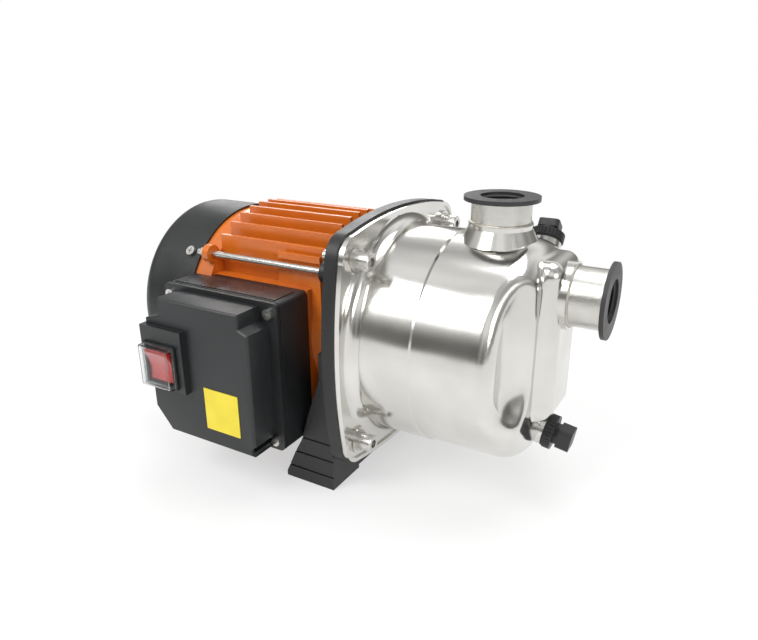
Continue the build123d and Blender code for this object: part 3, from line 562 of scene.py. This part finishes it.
copper = finish_material(
    "varnished copper", (0.55, 0.19, 0.07), (0.40, 0.12, 0.04),
    smooth=0.30, rough=0.45, bump=0.0006, metallic=0.8, coat=0.4, grain=500.0,
)
dress(copper, "windings")
dress(black_moulding, "fan")

# ---- inner fittings --------------------------------------------------------
# Moulded ejector parts, the seal faces, and the capacitor with its clip and
# terminal block inside the switch box.
dress(insert_plastic, "diffuser", "venturi", "nozzle", "ejector_cage")
ceramic = finish_material(
    "seal ceramic", (0.86, 0.85, 0.80), (0.80, 0.79, 0.74),
    smooth=0.15, rough=0.25, bump=0.00005,
)
dress(ceramic, "seal_seat")
carbon = finish_material(
    "seal carbon", (0.045, 0.045, 0.048), (0.06, 0.06, 0.063),
    smooth=0.35, rough=0.5, bump=0.0001,
)
dress(carbon, "seal_ring")
can_white = finish_material(
    "capacitor case", (0.82, 0.82, 0.79), (0.76, 0.76, 0.73),
    smooth=0.25, rough=0.4, bump=0.0001,
)
dress(can_white, "capacitor", "capacitor_clip", "terminal_block")

# ---- floor, lights and backdrop --------------------------------------------
# A pale floor under soft studio lamps. To the camera, gloss and glass it glows
# white far from the pump, and near the pump it keeps more of its shadow.
floor_size = 6.0
shadow_reach = 0.22
white_from = 0.65
glow_near_pump = 0.55
floor_mesh = bmesh.new()
bmesh.ops.create_grid(floor_mesh, x_segments=1, y_segments=1, size=floor_size)
floor_data = bpy.data.meshes.new("floor")
floor_mesh.to_mesh(floor_data)
floor_mesh.free()
floor = bpy.data.objects.new("floor", floor_data)
bpy.context.scene.collection.objects.link(floor)
floor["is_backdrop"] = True


def seen_by_eye(nodes, links):
    """One where a ray comes from the camera, gloss or glass, else zero."""
    path = nodes.new("ShaderNodeLightPath")
    first = nodes.new("ShaderNodeMath")
    first.operation = "MAXIMUM"
    second = nodes.new("ShaderNodeMath")
    second.operation = "MAXIMUM"
    links.new(path.outputs["Is Camera Ray"], first.inputs[0])
    links.new(path.outputs["Is Glossy Ray"], first.inputs[1])
    links.new(first.outputs["Value"], second.inputs[0])
    links.new(path.outputs["Is Transmission Ray"], second.inputs[1])
    return second.outputs["Value"]


floor_material = bpy.data.materials.new("pale floor")
floor_material.use_nodes = True
nodes, links = floor_material.node_tree.nodes, floor_material.node_tree.links
nodes["Principled BSDF"].inputs["Base Color"].default_value = (0.86, 0.86, 0.86, 1)
nodes["Principled BSDF"].inputs["Roughness"].default_value = 0.9
nodes["Principled BSDF"].inputs["Specular IOR Level"].default_value = 0.1
glow = nodes.new("ShaderNodeEmission")
glow.inputs["Color"].default_value = (1, 1, 1, 1)
place_on_floor = nodes.new("ShaderNodeTexCoord")
distance = nodes.new("ShaderNodeVectorMath")
distance.operation = "LENGTH"
links.new(place_on_floor.outputs["Object"], distance.inputs[0])
fade = nodes.new("ShaderNodeMapRange")
fade.inputs["From Min"].default_value = shadow_reach
fade.inputs["From Max"].default_value = white_from
fade.inputs["To Min"].default_value = glow_near_pump
fade.inputs["To Max"].default_value = 1.0
links.new(distance.outputs["Value"], fade.inputs["Value"])
share = nodes.new("ShaderNodeMath")
share.operation = "MULTIPLY"
links.new(fade.outputs["Result"], share.inputs[1])
blend = nodes.new("ShaderNodeMixShader")
links.new(seen_by_eye(nodes, links), share.inputs[0])
links.new(share.outputs["Value"], blend.inputs["Fac"])
links.new(nodes["Principled BSDF"].outputs["BSDF"], blend.inputs[1])
links.new(glow.outputs["Emission"], blend.inputs[2])
links.new(blend.outputs["Shader"], nodes["Material Output"].inputs["Surface"])
floor_data.materials.append(floor_material)

# Only the camera sees the room plain white. What lights the pump, and shows in
# its metal and glass, is a studio with grey walls, a pale ceiling and dark corners.
floor_tone = (0.74, 0.73, 0.69, 1)
ceiling_tone = (0.80, 0.80, 0.80, 1)
wall_tones = (
    (0.02, (0.25, 0.245, 0.225, 1)),
    (0.26, (0.32, 0.315, 0.30, 1)),
    (0.46, (0.86, 0.86, 0.85, 1)),
)
world = bpy.data.worlds.new("studio")
world.use_nodes = True
bpy.context.scene.world = world
nodes, links = world.node_tree.nodes, world.node_tree.links
room = nodes["Background"]
sky_direction = nodes.new("ShaderNodeTexCoord")
split = nodes.new("ShaderNodeSeparateXYZ")
links.new(sky_direction.outputs["Generated"], split.inputs["Vector"])
walls = nodes.new("ShaderNodeValToRGB")
links.new(split.outputs["Z"], walls.inputs["Fac"])
bands = walls.color_ramp.elements
bands[0].position, bands[0].color = 0.0, floor_tone
bands[1].position, bands[1].color = 1.0, ceiling_tone
for height, tone in wall_tones:
    bands.new(height).color = tone
corners = nodes.new("ShaderNodeTexNoise")
corners.inputs["Scale"].default_value = 1.7
corners.inputs["Detail"].default_value = 1.0
links.new(sky_direction.outputs["Generated"], corners.inputs["Vector"])
corner_shade = nodes.new("ShaderNodeMapRange")
corner_shade.inputs["From Min"].default_value = 0.35
corner_shade.inputs["From Max"].default_value = 0.65
corner_shade.inputs["To Min"].default_value = 0.45
corner_shade.inputs["To Max"].default_value = 1.15
links.new(corners.outputs["Fac"], corner_shade.inputs["Value"])
shaded = nodes.new("ShaderNodeVectorMath")
shaded.operation = "SCALE"
links.new(walls.outputs["Color"], shaded.inputs[0])
links.new(corner_shade.outputs["Result"], shaded.inputs["Scale"])
sight = nodes.new("ShaderNodeLightPath")
plain = nodes.new("ShaderNodeMix")
plain.data_type = "RGBA"
plain.inputs[7].default_value = (1, 1, 1, 1)
links.new(sight.outputs["Is Camera Ray"], plain.inputs["Factor"])
links.new(shaded.outputs["Vector"], plain.inputs[6])
links.new(plain.outputs[2], room.inputs["Color"])

low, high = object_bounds()
middle = Vector((low[i] + high[i] for i in range(3))) / 2
for name, place, size, power in (
    ("key lamp", (-0.5, -1.1, 1.3), 0.8, 17.0),
    ("front lamp", (1.3, -0.7, 0.7), 0.5, 5.0),
    ("top lamp", (0.2, 0.3, 1.5), 0.9, 10.0),
    ("rear lamp", (-0.9, 1.2, 0.9), 0.8, 8.0),
):
    lamp_data = bpy.data.lights.new(name, "AREA")
    lamp_data.shape = "SQUARE"
    lamp_data.size = size
    lamp_data.energy = power
    lamp = bpy.data.objects.new(name, lamp_data)
    lamp.location = place
    lamp.rotation_euler = (Vector(place) - middle).to_track_quat("Z", "Y").to_euler()
    bpy.context.scene.collection.objects.link(lamp)
